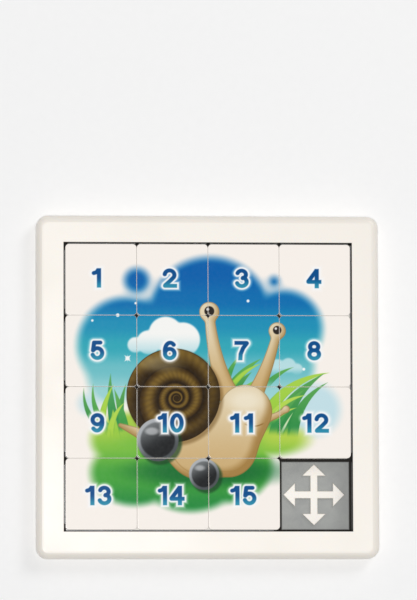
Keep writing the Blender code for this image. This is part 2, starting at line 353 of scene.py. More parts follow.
def printed_coat(name):
    """Offset ink under clear gloss: its colour comes from the print's own colour attribute."""
    material, tree, shader = new_material(name)
    shader.inputs["IOR"].default_value = 1.48
    shader.inputs["Specular IOR Level"].default_value = 0.12
    shader.inputs["Coat Weight"].default_value = 0.08
    shader.inputs["Coat Roughness"].default_value = 0.08
    shader.inputs["Coat IOR"].default_value = 1.5
    place = add_node(tree, "ShaderNodeTexCoord")
    ink = add_node(tree, "ShaderNodeAttribute", {"attribute_name": INK})
    speck = add_node(
        tree, "ShaderNodeTexNoise", {"Scale": 1 / (0.4 * MM), "Detail": 2.0},
        {"Vector": place.outputs["Object"]},
    )
    depth = add_node(
        tree, "ShaderNodeMapRange", {"To Min": 0.985, "To Max": 1.015},
        {"Value": speck.outputs["Fac"]},
    )
    uneven = add_node(
        tree, "ShaderNodeVectorMath", {"operation": "SCALE"},
        {"Vector": ink.outputs["Color"], "Scale": depth.outputs["Result"]},
    )
    tree.links.new(uneven.outputs["Vector"], shader.inputs["Base Color"])
    peel = add_node(
        tree, "ShaderNodeTexNoise", {"Scale": 1 / (1.1 * MM), "Detail": 1.0},
        {"Vector": place.outputs["Object"]},
    )
    gloss = add_node(
        tree, "ShaderNodeMapRange", {"To Min": 0.12, "To Max": 0.20},
        {"Value": peel.outputs["Fac"]},
    )
    tree.links.new(gloss.outputs["Result"], shader.inputs["Roughness"])
    bump = add_node(
        tree, "ShaderNodeBump", {"Strength": 0.05, "Distance": 0.02 * MM},
        {"Height": peel.outputs["Fac"]},
    )
    tree.links.new(bump.outputs["Normal"], shader.inputs["Normal"])
    return material


PRINT_COAT = printed_coat("offset_ink_under_gloss_coat")
print("material:", PRINT_COAT.name)

# %% [markdown]
# Small tools for shaping
#
# Most of these mouldings are blocks with rounded edges, with slots cut out and rails added.
# The block comes from a cube that is bevelled twice: first its upright corners, then the rim
# of its upper face. Slots and rails are cleanest with the Boolean modifier, whose result is
# then kept as plain mesh.

# %% Shaping helpers
TOLERANCE = 1e-6              # lengths below this count as nothing


def make_object(name, bm):
    """A new object in the scene that holds what a bmesh has built, with its faces outwards."""
    bmesh.ops.recalc_face_normals(bm, faces=bm.faces)
    mesh = bpy.data.meshes.new(name)
    bm.to_mesh(mesh)
    bm.free()
    obj = bpy.data.objects.new(name, mesh)
    bpy.context.scene.collection.objects.link(obj)
    return obj


def bevel(bm, edges, width, steps):
    """Round some edges."""
    bmesh.ops.bevel(
        bm, geom=edges, affect="EDGES", offset=width, segments=steps, profile=0.5, material=-1,
    )


def is_upright(edge):
    """Whether an edge runs straight up."""
    return (edge.verts[0].co.xy - edge.verts[1].co.xy).length < TOLERANCE


def rounded_block(name, low, high, corner=0.0, corner_steps=6, rim=0.0, rim_steps=5):
    """A block with round upright corners and a rounded upper rim."""
    low, high = Vector(low), Vector(high)
    bm = bmesh.new()
    size = Matrix.Diagonal((*(high - low), 1.0))
    bmesh.ops.create_cube(bm, size=1.0, matrix=Matrix.Translation((low + high) / 2) @ size)
    if corner:
        bevel(bm, [e for e in bm.edges if is_upright(e)], corner, corner_steps)
    if rim:
        top = [e for e in bm.edges if all(v.co.z > high.z - TOLERANCE for v in e.verts)]
        bevel(bm, top, rim, rim_steps)
    return make_object(name, bm)


def carve(obj, cuts=(), rails=()):
    """Cut shapes out of a piece and fuse others to it, then keep the result as plain mesh."""
    for other in (*cuts, *rails):
        step = obj.modifiers.new(other.name, "BOOLEAN")
        step.operation = "DIFFERENCE" if other in cuts else "UNION"
        step.object = other
    graph = bpy.context.evaluated_depsgraph_get()
    mesh = bpy.data.meshes.new_from_object(obj.evaluated_get(graph))
    obj.modifiers.clear()
    obj.data = mesh
    for other in (*cuts, *rails):
        bpy.data.objects.remove(other)


def dress(obj, material, body, node=None, sharp=35):
    """Give a finished piece its material and shading, hang it on the body that it rides on, and hide the
    imported part that it takes the place of.

    Normals are weighted by area, so a large flat face stays flat beside its rounded rim.
    """
    obj.data.materials.clear()
    obj.data.materials.append(material)
    obj.data.shade_smooth()
    obj.data.set_sharp_from_angle(angle=math.radians(sharp))
    level = obj.modifiers.new("level_large_faces", "WEIGHTED_NORMAL")
    level.keep_sharp = True
    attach(obj, body)
    if node:
        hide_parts(node)


# %% [markdown]
# The tile moulding
#
# A tile is a shallow cap of ABS, 5.5 mm deep. A tongue stands out of its left and upper
# sides, and a groove runs along its right and lower sides, so that each tile holds its
# neighbours down. Under the face, ribs cross a hollow that keeps the wall even, or the face
# would sink as it cooled. One mesh is made at the middle of the field and copied to each cell.

# %% Tile moulding
TONGUE_LOW = TILE_BOTTOM + 2.9 * MM
TONGUE_HIGH = TONGUE_LOW + 1.0 * MM
TONGUE_SETBACK = 2.0 * MM
TONGUE_ROUND = 0.15 * MM
GROOVE_DEPTH = 1.7 * MM
GROOVE_PLAY = 0.3 * MM
POCKET_WALL = 1.2 * MM
POCKET_RIB = 1.2 * MM
FACE_PLATE = 1.4 * MM
PAST = 1.0 * MM


def tongue(name, turn):
    """A tongue with a softened outer edge, on the right side before it is turned."""
    half = TILE / 2
    end = half - TONGUE_SETBACK
    bm = bmesh.new()
    low = Vector((half - PAST, -end, TONGUE_LOW))
    high = Vector((half + TONGUE_OUT, end, TONGUE_HIGH))
    size = Matrix.Diagonal((*(high - low), 1.0))
    bmesh.ops.create_cube(bm, size=1.0, matrix=Matrix.Translation((low + high) / 2) @ size)
    outer = [e for e in bm.edges if all(v.co.x > high.x - TONGUE_ROUND for v in e.verts)]
    bevel(bm, outer, TONGUE_ROUND, 2)
    bmesh.ops.rotate(bm, verts=bm.verts, matrix=Matrix.Rotation(turn, 3, "Z"))
    return make_object(name, bm)


def tile_pattern():
    """The moulding that every tile repeats, at the middle of the field."""
    half = FACE / 2
    reach = half + PAST
    low_z, high_z = TONGUE_LOW - GROOVE_PLAY, TONGUE_HIGH + GROOVE_PLAY
    obj = rounded_block(
        "tile_pattern", (-half, -half, TILE_BOTTOM), (half, half, TILE_TOP),
        TILE_CORNER, 6, TILE_EDGE, 5,
    )
    cuts = [
        rounded_block("right_groove", (half - GROOVE_DEPTH, -reach, low_z), (reach, reach, high_z)),
        rounded_block("lower_groove", (-reach, -reach, low_z), (reach, -half + GROOVE_DEPTH, high_z)),
    ]
    near = POCKET_RIB / 2
    far = half - GROOVE_DEPTH - POCKET_WALL
    for x_side in ((-far, -near), (near, far)):
        for y_side in ((-far, -near), (near, far)):
            low = (x_side[0], y_side[0], TILE_BOTTOM - PAST)
            high = (x_side[1], y_side[1], TILE_TOP - FACE_PLATE)
            cuts.append(rounded_block("pocket", low, high))
    carve(obj, cuts, [tongue("left_tongue", math.pi), tongue("upper_tongue", math.pi / 2)])
    return obj


pattern = tile_pattern()
for number in range(1, TILE_COUNT + 1):
    moulding = bpy.data.objects.new(f"tile_{number:02d}_moulding", pattern.data.copy())
    moulding.data.transform(Matrix.Translation(cell_centre(number)))
    bpy.context.scene.collection.objects.link(moulding)
    node = f"tile_{number:02d}"
    dress(moulding, TILE_ABS, node, node)
print("tile moulding:", len(pattern.data.polygons), "faces, copied to", TILE_COUNT, "cells")
bpy.data.objects.remove(pattern)

# %% [markdown]
# Painting with distances
#
# The printed picture is drawn by formula, as an illustrator draws with shapes. Each shape is
# a function that says how far a point is from its outline, in millimetres, and less than
# nothing inside. From that one number come a crisp edge, an airbrushed edge, an outline or a
# shadow. Colours are mixed as sRGB, as in a drawing program, and turned to linear at the end.

# %% Paint tools


def smooth(low, high, value):
    """A share that rises softly from 0 to 1 as value goes from low to high."""
    t = np.clip((value - low) / (high - low), 0.0, 1.0)
    return t * t * (3 - 2 * t)


def inside(distance, blur=0.2):
    """How much of a point lies inside a shape whose edge is blurred over some millimetres."""
    return 1.0 - smooth(-blur / 2, blur / 2, distance)


def outline(distance, width):
    """How much of a point lies on the line just inside a shape's edge."""
    return inside(np.abs(distance + width / 2) - width / 2, 0.3)


def mix(first, second, share):
    """A colour between two others, point by point."""
    return first + (second - first) * np.asarray(share)[..., None]


def lay(paint, ink, cover):
    """Lay ink over what is painted, where it covers."""
    return mix(paint, ink, cover)


def disc(x, y, cx, cy, rx, ry=None):
    """Distance to a disc, or to an oval that has two radii."""
    ry = rx if ry is None else ry
    return (np.hypot((x - cx) / rx, (y - cy) / ry) - 1) * min(rx, ry)


def limb(x, y, ax, ay, a_radius, bx, by, b_radius):
    """Distance to a straight limb with round ends, which may taper."""
    dx, dy = bx - ax, by - ay
    t = np.clip(((x - ax) * dx + (y - ay) * dy) / (dx * dx + dy * dy), 0.0, 1.0)
    return np.hypot(x - ax - t * dx, y - ay - t * dy) - (a_radius + (b_radius - a_radius) * t)


def curved_limb(x, y, root, tip, bend, width, steps=12):
    """Distance to a limb that bends sideways; width(t) is its radius from root, 0, to tip, 1."""
    root, tip = Vector(root), Vector(tip)
    along = tip - root
    knee = (root + tip) / 2 + Vector((-along.y, along.x)) * bend
    best = np.full(x.shape, 1e3)
    last, last_radius = root, width(0.0)
    for step in range(1, steps + 1):
        t = step / steps
        point = root * (1 - t) ** 2 + knee * 2 * t * (1 - t) + tip * t * t
        best = np.minimum(best, limb(x, y, *last, last_radius, *point, width(t)))
        last, last_radius = point, width(t)
    return best


def merge(shapes, soft):
    """Several shapes melted into one, with fillets of about this size where they meet."""
    total = shapes[0]
    for shape in shapes[1:]:
        share = np.clip(0.5 + 0.5 * (shape - total) / soft, 0.0, 1.0)
        total = shape + (total - shape) * share - soft * share * (1 - share)
    return total


# %% [markdown]
# Sky, cloud and ground
#
# The picture is a vignette: a patch of sky and a patch of grass with airbrushed edges, left
# on the bare ivory of the tiles. Each patch is a handful of discs melted together. The sky
# deepens upwards and the grass darkens downwards, through a few stops each.

# %% Sky, cloud and ground
IVORY_INK = srgb("#FFF8F1")
WHITE_INK = srgb("#FFFFFF")
SKY_STOPS = (
    ("#0063B0", 40), ("#0672B5", 30), ("#1E94BC", 22), ("#33ACBD", 14),
    ("#70C4CC", 6), ("#9ED8D9", -2), ("#C0E4E4", -12),
)
GRASS_STOPS = (("#A9D048", -12), ("#7CC242", -21), ("#48A83D", -31), ("#258F40", -42))


def graded(value, stops):
    """Colours that change through a few stops as value falls."""
    ink = srgb(stops[0][0])
    ink = np.broadcast_to(ink, (*value.shape, 3))
    for (_, start), (hex_code, end) in zip(stops[:-1], stops[1:]):
        ink = mix(ink, srgb(hex_code), smooth(start, end, value))
    return ink


def paint_sky(paint, x, y):
    patch = merge([
        disc(x, y, 1.0, 23.4, 22.4), disc(x, y, 27.0, 20.3, 14.0), disc(x, y, -28.5, 14.2, 17.4),
        disc(x, y, -20.0, 21.0, 9.4),
        disc(x, y, 0.0, 8.0, 32.0, 26.0), disc(x, y, -24.6, 37.1, 4.7), disc(x, y, 23.6, 36.9, 2.0),
        disc(x, y, -34.0, 1.5, 8.0), disc(x, y, 29.0, 7.0, 9.0),
    ], 2.5)
    paint = lay(paint, graded(y, SKY_STOPS), inside(patch + 0.6, 4.6))
    haze = merge([disc(x, y, 37.5, -8.0, 9.0), disc(x, y, -41.5, -6.0, 3.4)], 2.0)
    return lay(paint, srgb("#B2DEEC"), 0.7 * inside(haze, 5.0))


def paint_clouds(paint, x, y):
    near = merge([
        disc(x, y, -14.5, 18.5, 6.0), disc(x, y, -8.5, 16.5, 6.0), disc(x, y, -20.5, 15.5, 4.2),
        disc(x, y, -25.2, 14.6, 2.7),
    ], 0.8)
    ink = mix(srgb("#FDFDFA"), srgb("#C8E8EE"), smooth(19.0, 11.5, y))
    paint = lay(paint, ink, inside(near, 0.9) * smooth(8.5, 13.5, y))
    far = merge([
        disc(x, y, 24.5, 6.5, 3.2), disc(x, y, 28.5, 7.5, 2.6), disc(x, y, 31.5, 6.2, 2.0),
    ], 0.8)
    return lay(paint, srgb("#D9F0F3"), 0.75 * inside(far, 0.9) * smooth(3.5, 7.0, y))


def paint_ground(paint, x, y):
    patch = merge([
        disc(x, y, -28.0, -18.5, 12.8, 9.5), disc(x, y, -25.5, -30.0, 15.4, 11.5),
        disc(x, y, -6.0, -28.5, 19.0, 15.2), disc(x, y, 8.0, -27.5, 14.5, 13.0),
        disc(x, y, 22.0, -18.4, 13.4, 5.6), disc(x, y, 0.0, -20.0, 22.0, 12.0),
    ], 1.2)
    ink = graded(y, GRASS_STOPS)
    ink = mix(ink, srgb("#BFD94E"), 0.85 * smooth(12, 24, x) * smooth(-26, -17, y))
    ink = mix(ink, srgb("#B4D84A"), 0.5 * smooth(-24, -36, x) * smooth(-24, -16, y))
    return lay(paint, ink, inside(patch + 0.2, 3.8))


print("tones: sky", len(SKY_STOPS), "grass", len(GRASS_STOPS))

# %% [markdown]
# Sparks of light, grass blades and pebbles
#
# A few white points and one small star catch the light in the sky. Each blade of grass is a
# curved limb that narrows to nothing, paler towards its tip and darker along one edge.
# Pebbles are dark slate ovals with a worn, paler rim, lit from the upper left.

# %% Sparks, grass and pebbles
SPARKS = (
    (-25.0, 29.2, 0.42), (-31.3, 25.0, 0.6), (-40.2, 23.1, 0.42),
    (14.4, 30.1, 0.5), (33.9, 6.2, 0.5), (30.6, -5.8, 0.5),
)
# Each blade: root, tip, sideways bend as a share of its length, width at the root, colour.
BLADES = (
    ((-35.0, -16.0), (-43.2, -0.4), 0.30, 2.2, "#2F9148"),
    ((-33.5, -16.0), (-39.9, 1.0), 0.26, 2.4, "#3D9F47"),
    ((-30.5, -15.5), (-28.4, 1.0), 0.10, 2.6, "#2C8E49"),
    ((-31.5, -16.0), (-33.8, 4.6), 0.10, 3.2, "#2E9150"),
    ((-29.0, -16.0), (-32.6, -0.8), -0.05, 3.0, "#3A9C48"),
    ((-37.0, -15.5), (-32.8, 0.8), 0.14, 2.4, "#A6D640"),
    ((-36.5, -17.5), (-38.2, -8.0), 0.10, 2.4, "#8CCB3E"),
    ((-32.0, -18.5), (-33.0, -8.0), 0.04, 3.0, "#9AD03F"),
    ((-34.0, -18.0), (-29.0, -5.6), 0.22, 2.3, "#B0D948"),
    ((6.8, 1.5), (11.6, 10.9), 0.14, 1.9, "#3A9C4A"),
    ((7.0, -3.0), (19.0, 9.9), 0.16, 3.0, "#3F9F4B"),
    ((8.0, -4.0), (15.6, 5.2), 0.10, 2.6, "#2A8D47"),
    ((7.6, -1.5), (19.0, 8.2), 0.18, 1.8, "#A4D545"),
    ((10.5, -4.0), (17.5, 2.5), 0.12, 2.0, "#6FBE44"),
    ((20.0, -0.5), (30.3, 6.9), 0.16, 1.9, "#3A9C4A"),
    ((19.5, -12.0), (42.9, 5.0), 0.26, 3.6, "#9FD240"),
    ((24.0, -17.0), (38.0, 3.0), 0.20, 4.4, "#2E9148"),
    ((26.5, -17.0), (41.2, 4.8), 0.24, 3.8, "#2A8D47"),
    ((22.5, -16.0), (34.0, -1.0), 0.14, 3.8, "#33964A"),
    ((29.8, -17.5), (42.3, 1.6), 0.26, 3.2, "#2E9148"),
    ((21.5, -11.0), (34.6, -2.9), 0.20, 2.0, "#B4DB4C"),
    ((22.0, -13.0), (31.4, -7.3), 0.16, 1.5, "#B9DE55"),
    ((25.6, -17.0), (30.0, -9.0), 0.04, 0.8, "#E9F6D8"),
)


def paint_sparks(paint, x, y):
    for cx, cy, radius in SPARKS:
        paint = lay(paint, WHITE_INK, inside(disc(x, y, cx, cy, radius), 0.4))
    dx, dy = np.abs(x + 27.9), np.abs(y - 9.9)
    upright_star = np.sqrt(dx) + np.sqrt(dy)
    turned_star = (np.abs(dx - dy) / 1.4) ** 0.5 + ((dx + dy) / 1.4) ** 0.5
    paint = lay(paint, WHITE_INK, 0.6 * (1 - smooth(0.9, 1.4, upright_star)))
    return lay(paint, WHITE_INK, 0.95 * (1 - smooth(1.2, 1.6, turned_star)))


def paint_grass(paint, x, y):
    for root, tip, bend, width, hex_code in BLADES:
        shape = curved_limb(x, y, root, tip, bend, lambda t: 0.6 * width * (1 - t ** 1.6))
        height = smooth(root[1], tip[1], y)
        ink = mix(srgb(hex_code), srgb("#CDE676"), 0.3 * height)
        rooted = smooth(root[1] - 0.5, root[1] + 4.0, y)
        paint = lay(paint, ink, inside(shape, 0.3) * rooted)
        paint = lay(paint, srgb("#1F7A3C"), 0.35 * outline(shape, 0.24) * (1 - height) * rooted)
    return paint


def paint_pebble(paint, x, y, cx, cy, rx, ry):
    ground_shadow = disc(x, y, cx + 0.9, cy - 1.0, rx * 1.04, ry * 1.03)
    paint = lay(paint, srgb("#14401F"), 0.7 * inside(ground_shadow, 1.2))
    slope = (y - cy) / ry - 0.5 * (x - cx) / rx
    shape = disc(x, y, cx, cy, rx, ry)
    rim_ink = mix(srgb("#B2B6BA"), srgb("#4E5356"), smooth(0.9, -0.9, slope))
    paint = lay(paint, rim_ink, inside(shape, 0.25))
    ink = mix(srgb("#7A7E80"), srgb("#1D1F21"), smooth(1.1, -0.5, slope))
    paint = lay(paint, ink, inside(shape + 0.17 * ry, 0.11 * ry))
    glint = disc(x, y, cx - 0.28 * rx, cy + 0.4 * ry, 0.32 * rx, 0.17 * ry)
    return lay(paint, srgb("#DADCDE"), 0.6 * inside(glint, 1.0))


print("sparks:", len(SPARKS), "blades of grass:", len(BLADES))

# %% [markdown]
# The snail
#
# A plain garden snail fills the middle of the picture: a beige body, two long horns and one
# short one. The body is a few limbs melted together. Its shade comes from the same shape moved
# a little towards the light: what the moved shape leaves uncovered is the side that lies in
# shadow.

# %% Snail
# Each horn: root, tip, sideways bend as a share of its length, radii at root, tip and knob.
LONG_HORNS = (
    ((7.0, -2.0), (0.8, 26.2), 0.08, 3.8, 1.6, 3.5),
    ((16.5, -3.0), (24.6, 19.6), -0.06, 3.2, 1.4, 3.0),
)
SHORT_HORN = ((21.5, -11.0), (27.6, -7.8), -0.1, 1.4, 0.8, 1.2)


def horn(x, y, root, tip, bend, root_radius, tip_radius, knob):
    """A horn that narrows quickly and ends in a round knob."""
    stalk = curved_limb(
        x, y, root, tip, bend, lambda t: root_radius + (tip_radius - root_radius) * t ** 0.6,
    )
    return merge([stalk, disc(x, y, *tip, knob)], 1.0)


def snail_body(x, y):
    """The foot, the raised neck and head, and the tail."""
    raised = merge([
        limb(x, y, -4.0, -23.0, 8.6, 7.2, -22.8, 8.6), limb(x, y, 7.6, -19.6, 9.8, 13.4, -8.6, 9.3),
    ], 4.0)
    tail = limb(x, y, -2.0, -25.5, 5.6, -30.5, -13.5, 0.7)
    return merge([raised, tail], 5.0)


def paint_flesh(paint, y, shape, towards_light, low, high):
    ink = mix(srgb("#EADAB9"), srgb("#D2B27C"), smooth(high, low, y))
    paint = lay(paint, ink, inside(shape, 0.25))
    shade = inside(shape, 0.25) * (1 - inside(towards_light, 3.6))
    paint = lay(paint, srgb("#9C7434"), 0.75 * shade)
    return lay(paint, srgb("#7A5A28"), 0.55 * outline(shape, 0.22))


def paint_snail(paint, x, y):
    paint = lay(paint, srgb("#0E6B31"), 0.85 * inside(disc(x, y, 0.0, -29.5, 25.0, 5.2), 5.0))
    for one in LONG_HORNS:
        paint = paint_flesh(paint, y, horn(x, y, *one), horn(x + 0.9, y - 0.6, *one), -2, 24)
        (tip_x, tip_y), knob = one[1], one[-1]
        paint = lay(paint, srgb("#2A2420"), inside(disc(x, y, tip_x, tip_y + 0.3, 0.5 * knob), 0.3))
        glint = disc(x, y, tip_x - 0.16 * knob, tip_y + 0.3 + 0.18 * knob, 0.14 * knob)
        paint = lay(paint, WHITE_INK, 0.9 * inside(glint, 0.3))
    paint = paint_flesh(paint, y, horn(x, y, *SHORT_HORN), horn(x + 0.5, y - 0.4, *SHORT_HORN), -14, -6)
    body = snail_body(x, y)
    paint = paint_flesh(paint, y, body, snail_body(x + 1.9, y - 2.6), -30, 2)
    paint = lay(paint, srgb("#FBF3DF"), 0.65 * inside(disc(x, y, 13.5, -5.0, 5.6, 3.4), 4.5))
    mouth = np.abs(disc(x, y, 16.2, -8.6, 5.6, 5.2)) - 0.22
    paint = lay(
        paint, srgb("#8C6428"),
        0.8 * inside(mouth, 0.3) * smooth(-12.4, -13.2, y) * smooth(12.5, 14.0, x),
    )
    sole = np.abs(body + 2.0) - 0.16
    return lay(paint, srgb("#A67F42"), 0.6 * inside(sole, 0.4) * smooth(-22, -26, y))


print("horns:", len(LONG_HORNS) + 1)

# %% [markdown]
# The shell
#
# The shell is a disc whose whorls follow a logarithmic spiral, which grows by the same share
# at every turn, as a real shell does. So the logarithm of the distance from its middle, plus
# the share of a turn, says how far across its whorl a point lies. From that come the brown
# tones, the fine growth ribs and the dark seam between whorls.

# %% Shell
SHELL_X, SHELL_Y, SHELL_RADIUS = -11.9, -3.0, 16.4
WHORL_SHARE = 0.50            # each whorl is this much smaller than the one outside it
SHELL_RIBS = 34               # in one turn


def paint_shell(paint, x, y):
    rim = disc(x, y, SHELL_X, SHELL_Y, SHELL_RADIUS)
    cast = disc(x, y, SHELL_X + 0.8, SHELL_Y - 0.9, SHELL_RADIUS + 0.3)
    paint = lay(paint, srgb("#6B4A1A"), 0.5 * inside(cast, 1.6))
    px, py = x - SHELL_X - 1.2, y - SHELL_Y + 1.0
    reach = np.maximum(np.hypot(px, py), 0.3)
    turn = (np.arctan2(py, px) / (2 * np.pi) + 0.78) % 1.0
    across = (np.log(reach / (1.32 * SHELL_RADIUS)) / np.log(WHORL_SHARE) + turn) % 1.0
    ink = mix(srgb("#3C2805"), srgb("#7C6126"), smooth(0.02, 0.38, across))
    ink = mix(ink, srgb("#2F1F04"), smooth(0.42, 0.95, across))
    ribs = 0.5 + 0.5 * np.sin(2 * np.pi * SHELL_RIBS * turn + 5 * across)
    ink = mix(ink, srgb("#33210A"), 0.16 * ribs * smooth(0.5, 3.0, reach))
    seam = np.minimum(across, 1 - across) * reach * -np.log(WHORL_SHARE)
    ink = mix(ink, srgb("#241603"), 0.75 * (1 - smooth(0.12, 0.5, seam)))
    cover = inside(rim, 0.25)
    paint = lay(paint, ink, cover)
    gloss = disc(x, y, SHELL_X - 4.5, SHELL_Y + 11.0, 7.0, 2.6)
    paint = lay(paint, srgb("#E9DDB8"), 0.32 * inside(gloss, 3.2) * cover)
    lit = disc(x, y, SHELL_X - 1.6, SHELL_Y + 2.2, SHELL_RADIUS - 0.4)
    paint = lay(paint, srgb("#241704"), 0.75 * cover * (1 - inside(lit, 4.5)))
    return lay(paint, srgb("#2A1B05"), 0.6 * outline(rim, 0.27))


print("shell:", 2 * SHELL_RADIUS, "mm wide")

# %% [markdown]
# The whole picture
#
# The layers are painted from the back to the front, as a poster painter would: the sky first,
# and the two pebbles that lie before the snail last.

# %% Whole picture
LAYERS = (
    paint_sky, paint_clouds, paint_sparks, paint_ground, paint_grass, paint_snail, paint_shell,
)
PEBBLES = ((-17.4, -18.6, 7.3, 7.5), (-1.2, -30.6, 5.3, 5.5))


def paint_picture(x, y):
    """The whole picture at these points, in sRGB."""
    paint = np.broadcast_to(IVORY_INK, (*x.shape, 3))
    for layer in LAYERS:
        paint = layer(paint, x, y)
    for pebble in PEBBLES:
        paint = paint_pebble(paint, x, y, *pebble)
    return paint


print("layers:", len(LAYERS), "pebbles:", len(PEBBLES))

# %% [markdown]
# The shapes of the numerals
#
# The numbers are plain bold numerals, 6.8 mm high. A font would do, but then each letter would
# be a mesh of its own. Here each numeral is one more distance: a broad stroke along straight
# lines and bows, trimmed by a box where the stroke should end flat.

# %% Numeral shapes
NUMERAL_HEIGHT = 6.8
NUMERAL_HALF_WIDTH = 2.5
STROKE = 1.4
WIDEN = 1.06                  # the numerals are drawn narrow and widened by this much
OFF = 5.0                     # a stroke that runs this far is trimmed by the numeral's box


def bow(cx, cy, rx, ry, start, stop, steps=18):
    """Points along part of an oval, from one angle to another, in degrees."""
    angles = np.radians(np.linspace(start, stop, steps + 1))
    return [(float(cx + rx * np.cos(a)), float(cy + ry * np.sin(a))) for a in angles]


NUMERALS = {
    "0": [bow(0, 0, 1.58, 2.71, 0, 360, 28)],
    "1": [[(0.6, -OFF), (0.6, OFF)], [(0.6, 3.2), (-0.2, 2.0), (-1.1, 1.7)]],
    "2": [bow(0, 1.12, 1.6, 1.59, 172, -30) + [(0.2, -0.95), (-1.4, -2.45)], [(-1.5, -2.71), (OFF, -2.71)]],
    "3": [bow(-0.05, 1.35, 1.42, 1.36, 160, -75), bow(0, -1.22, 1.62, 1.49, 75, -162)],
    "4": [[(0.95, OFF), (0.95, -OFF)], [(0.9, 2.9), (-1.8, -0.95)], [(-1.8, -1.15), (OFF, -1.15)]],
    "5": [[(-0.9, 2.71), (1.0, 2.71)], [(-1.05, 2.71), (-1.4, -0.05)], bow(0, -0.98, 1.62, 1.73, 146, -160)],
    "6": [bow(0, -1.08, 1.58, 1.63, 0, 360, 24), bow(0.15, -0.1, 1.75, 2.81, 190, 48)],
    "7": [[(-OFF, 2.71), (1.5, 2.71)], [(1.6, 2.6), (0.35, 0.85), (-0.45, -1.2), (-0.7, -OFF)]],
    "8": [bow(0, 1.42, 1.35, 1.29, 0, 360, 22), bow(0, -1.25, 1.6, 1.46, 0, 360, 24)],
    "9": [bow(0, 1.08, 1.58, 1.63, 0, 360, 24), bow(-0.15, 0.1, 1.75, 2.81, 10, -132)],
}


def numeral(x, y, digit):
    """Distance to one numeral that is centred on the origin."""
    x = x / WIDEN
    drawn = np.full(x.shape, 1e3)
    for stroke in NUMERALS[digit]:
        for start, end in zip(stroke[:-1], stroke[1:]):
            drawn = np.minimum(drawn, limb(x, y, *start, STROKE / 2, *end, STROKE / 2))
    trim = np.maximum(np.abs(x) - NUMERAL_HALF_WIDTH, np.abs(y) - NUMERAL_HEIGHT / 2)
    return np.maximum(drawn, trim)


print("numerals:", " ".join(NUMERALS))

# %% [markdown]
# Printing a number
#
# A white edge and a soft glow keep a number readable on the picture, and its ink runs from
# deep blue to teal. The numbers belong to the print and not to the mould, so they stand a
# little wider apart than the tiles and a little to one side, as the print's sheet does.

# %% Numbers
NUMERAL_STEP = 4.85           # from one numeral of a number to the next
NUMBER_PITCH = 25.35          # from one number to the next
NUMBER_SHIFT = -0.45


def paint_number(paint, x, y, number):
    """One tile's number over what is painted there."""
    centre = cell_centre(number) / PITCH * NUMBER_PITCH
    x, y = x - centre.x - NUMBER_SHIFT, y - centre.y
    digits = str(number)
    first = -NUMERAL_STEP * (len(digits) - 1) / 2
    shape = np.full(x.shape, 1e3)
    for place, digit in enumerate(digits):
        shape = np.minimum(shape, numeral(x - first - place * NUMERAL_STEP, y, digit))
    paint = lay(paint, WHITE_INK, 0.5 * inside(shape - 1.0, 1.2))
    paint = lay(paint, WHITE_INK, inside(shape - 0.55, 0.5))
    ink = mix(srgb("#00508F"), srgb("#2E93B2"), smooth(0.6, -3.2, y))
    return lay(paint, ink, inside(shape, 0.3))


print("numbers: every", NUMBER_PITCH, "mm")

# %% [markdown]
# The print on each tile
#
# A print could be an image, but an image stops being sharp as the eye comes near, and this
# scene uses none. Here it is a film of its own: a fine grid over the flat part of the tile's
# face, with one ink colour at each crossing, 0.16 mm apart. The grid starts square, and its
# corners are drawn in to the tile's round ones. Near its edge it bends down with the tile's
# rounded rim, and there it is folded under, as a real film of ink and coat has some thickness.

# %% Prints
PRINT_STEPS = 150
PRINT_MARGIN = 0.08 * MM
PRINT_OFFSET = 0.35           # the print sits this many millimetres to the left on the tiles
FILM = 0.015 * MM


def round_off(flat, half, radius):
    """Draw the corners of a square grid in to round ones."""
    start = half - radius
    out = np.clip((np.abs(flat) - start) / radius, 0.0, 1.0)
    in_corner = (out > 0).all(axis=1)
    drawn = out * np.sqrt(1 - out[:, ::-1] ** 2 / 2)
    moved = np.sign(flat) * (start + drawn * radius)
    flat[in_corner] = moved[in_corner]
    return flat


def rim_drop(flat):
    """How far a tile's rounded rim lies below its face, at points in from the tile's middle."""
    start = FACE / 2 - TILE_CORNER
    out = np.maximum(np.abs(flat) - start, 0.0)
    beyond = np.hypot(out[:, 0], out[:, 1]) - (TILE_CORNER - TILE_EDGE)
    beyond = np.clip(beyond, 0.0, TILE_EDGE)
    return TILE_EDGE - np.sqrt(TILE_EDGE ** 2 - beyond ** 2)


def make_print(number):
    """The film on one tile, painted with its share of the picture and its number."""
    half = FACE / 2 - PRINT_MARGIN
    bm = bmesh.new()
    bmesh.ops.create_grid(bm, x_segments=PRINT_STEPS, y_segments=PRINT_STEPS, size=half)
    rim = [e for e in bm.edges if e.is_boundary]
    folded = bmesh.ops.extrude_edge_only(bm, edges=rim)
    lowered = [v for v in folded["geom"] if isinstance(v, bmesh.types.BMVert)]
    bmesh.ops.translate(bm, verts=lowered, vec=(0.0, 0.0, -FILM))
    film = make_object(f"tile_{number:02d}_print", bm)
    mesh = film.data
    places = np.zeros(len(mesh.vertices) * 3)
    mesh.vertices.foreach_get("co", places)
    places = places.reshape(-1, 3)
    places[:, :2] = round_off(places[:, :2].copy(), half, TILE_CORNER - PRINT_MARGIN)
    places[:, 2] -= rim_drop(places[:, :2])
    places += np.array(cell_centre(number)) + (0.0, 0.0, TILE_TOP + FILM)
    mesh.vertices.foreach_set("co", places.ravel())
    x, y = places[:, 0] / MM + PRINT_OFFSET, places[:, 1] / MM
    paint = paint_number(paint_picture(x, y), x, y, number)
    inks = np.ones((len(x), 4))
    inks[:, :3] = linear(np.clip(paint, 0.0, 1.0))
    layer = mesh.color_attributes.new(INK, "FLOAT_COLOR", "POINT")
    layer.data.foreach_set("color", inks.ravel())
    mesh.update()
    dress(film, PRINT_COAT, f"tile_{number:02d}")
    return film


prints = [make_print(number) for number in range(1, TILE_COUNT + 1)]
print("prints:", len(prints), "with", len(prints[0].data.polygons), "faces each")

